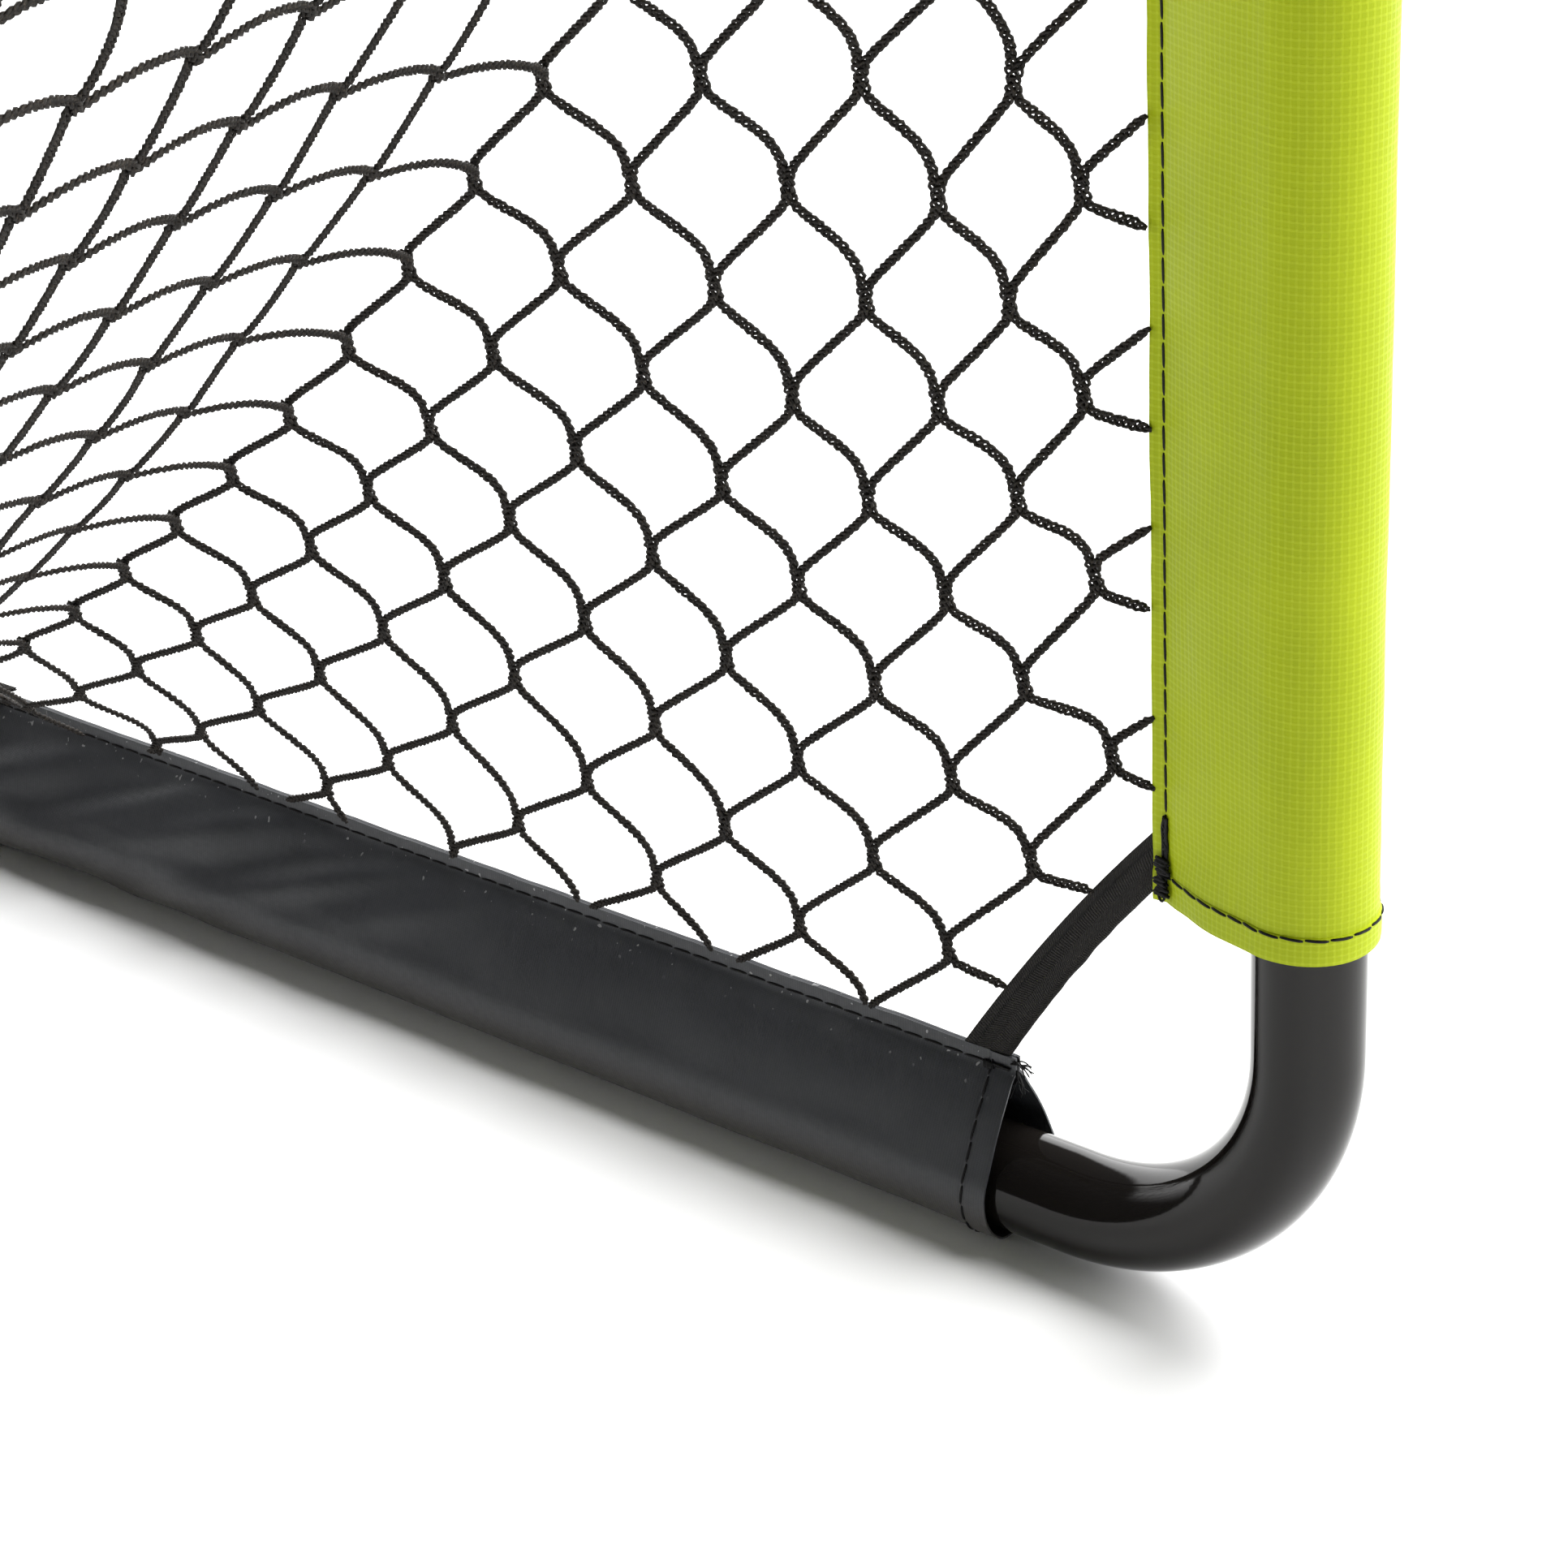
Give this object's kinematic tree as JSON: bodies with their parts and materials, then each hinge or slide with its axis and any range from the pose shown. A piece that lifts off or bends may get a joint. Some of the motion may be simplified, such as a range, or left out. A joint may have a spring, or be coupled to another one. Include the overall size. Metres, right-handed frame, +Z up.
{
  "type": "ball rebounder",
  "caption": "Goal-shaped lawn rebounder: bent steel tube frame in fabric sleeves, with a knotless net sloping from the crossbar to the rear ground bar.",
  "frame": {"origin": "on the floor, under the middle of the object's box", "axes": "+X across the width, -Y towards the open front, +Z up"},
  "size_m": [1.2, 0.717, 0.6909],
  "materials": {
    "lime_fabric": "coated woven sleeve fabric with a fine square grid, satin",
    "charcoal_fabric": "coated woven sleeve fabric, satin",
    "net_cord": "braided knotless netting cord",
    "binding_tape": "twill binding tape, folded double",
    "black_paint": "glossy black paint",
    "spring_steel": "bright spring steel"
  },
  "bodies": {
    "frame": {"front_right_corner_tube": "black_paint", "front_left_corner_tube": "black_paint", "top_right_corner_tube": "black_paint", "top_left_corner_tube": "black_paint", "rear_right_corner_tube": "black_paint", "rear_left_corner_tube": "black_paint", "crossbar_tube": "black_paint", "rear_bar_tube": "black_paint", "post_right_button_spring": "spring_steel", "post_left_button_spring": "spring_steel", "side_right_button_spring": "spring_steel", "side_left_button_spring": "spring_steel", "crossbar_right_button_spring": "spring_steel", "crossbar_left_button_spring": "spring_steel", "rear_right_button_spring": "spring_steel", "rear_left_button_spring": "spring_steel", "right_post_sleeve": "lime_fabric", "left_post_sleeve": "lime_fabric", "crossbar_sleeve": "lime_fabric", "right_side_sleeve": "charcoal_fabric", "left_side_sleeve": "charcoal_fabric", "rear_bar_sleeve": "charcoal_fabric", "front_right_corner_tape": "binding_tape", "front_left_corner_tape": "binding_tape", "top_right_corner_tape": "binding_tape", "top_left_corner_tape": "binding_tape", "rear_right_corner_tape": "binding_tape", "rear_left_corner_tape": "binding_tape", "back_net": "net_cord", "right_side_net": "net_cord", "left_side_net": "net_cord"},
    "post_right_button": {"post_right_snap_button": "spring_steel"},
    "post_left_button": {"post_left_snap_button": "spring_steel"},
    "side_right_button": {"side_right_snap_button": "spring_steel"},
    "side_left_button": {"side_left_snap_button": "spring_steel"},
    "crossbar_right_button": {"crossbar_right_snap_button": "spring_steel"},
    "crossbar_left_button": {"crossbar_left_snap_button": "spring_steel"},
    "rear_right_button": {"rear_right_snap_button": "spring_steel"},
    "rear_left_button": {"rear_left_snap_button": "spring_steel"}
  },
  "joints": [
    {"name": "post_right_button_press", "type": "slide", "parent": "frame", "child": "post_right_button", "axis": [0, -1, 0], "range_m": [0, 0.004], "stiffness_N_per_m": 900, "springref_m": -0.003},
    {"name": "post_left_button_press", "type": "slide", "parent": "frame", "child": "post_left_button", "axis": [0, -1, 0], "range_m": [0, 0.004], "stiffness_N_per_m": 900, "springref_m": -0.003},
    {"name": "side_right_button_press", "type": "slide", "parent": "frame", "child": "side_right_button", "axis": [0, 0, -1], "range_m": [0, 0.004], "stiffness_N_per_m": 900, "springref_m": -0.003},
    {"name": "side_left_button_press", "type": "slide", "parent": "frame", "child": "side_left_button", "axis": [0, 0, -1], "range_m": [0, 0.004], "stiffness_N_per_m": 900, "springref_m": -0.003},
    {"name": "crossbar_right_button_press", "type": "slide", "parent": "frame", "child": "crossbar_right_button", "axis": [0, -0.42, 0.9075], "range_m": [0, 0.004], "stiffness_N_per_m": 900, "springref_m": -0.003},
    {"name": "crossbar_left_button_press", "type": "slide", "parent": "frame", "child": "crossbar_left_button", "axis": [0, -0.42, 0.9075], "range_m": [0, 0.004], "stiffness_N_per_m": 900, "springref_m": -0.003},
    {"name": "rear_right_button_press", "type": "slide", "parent": "frame", "child": "rear_right_button", "axis": [0, 0.7417, -0.6707], "range_m": [0, 0.004], "stiffness_N_per_m": 900, "springref_m": -0.003},
    {"name": "rear_left_button_press", "type": "slide", "parent": "frame", "child": "rear_left_button", "axis": [0, 0.7417, -0.6707], "range_m": [0, 0.004], "stiffness_N_per_m": 900, "springref_m": -0.003}
  ]
}
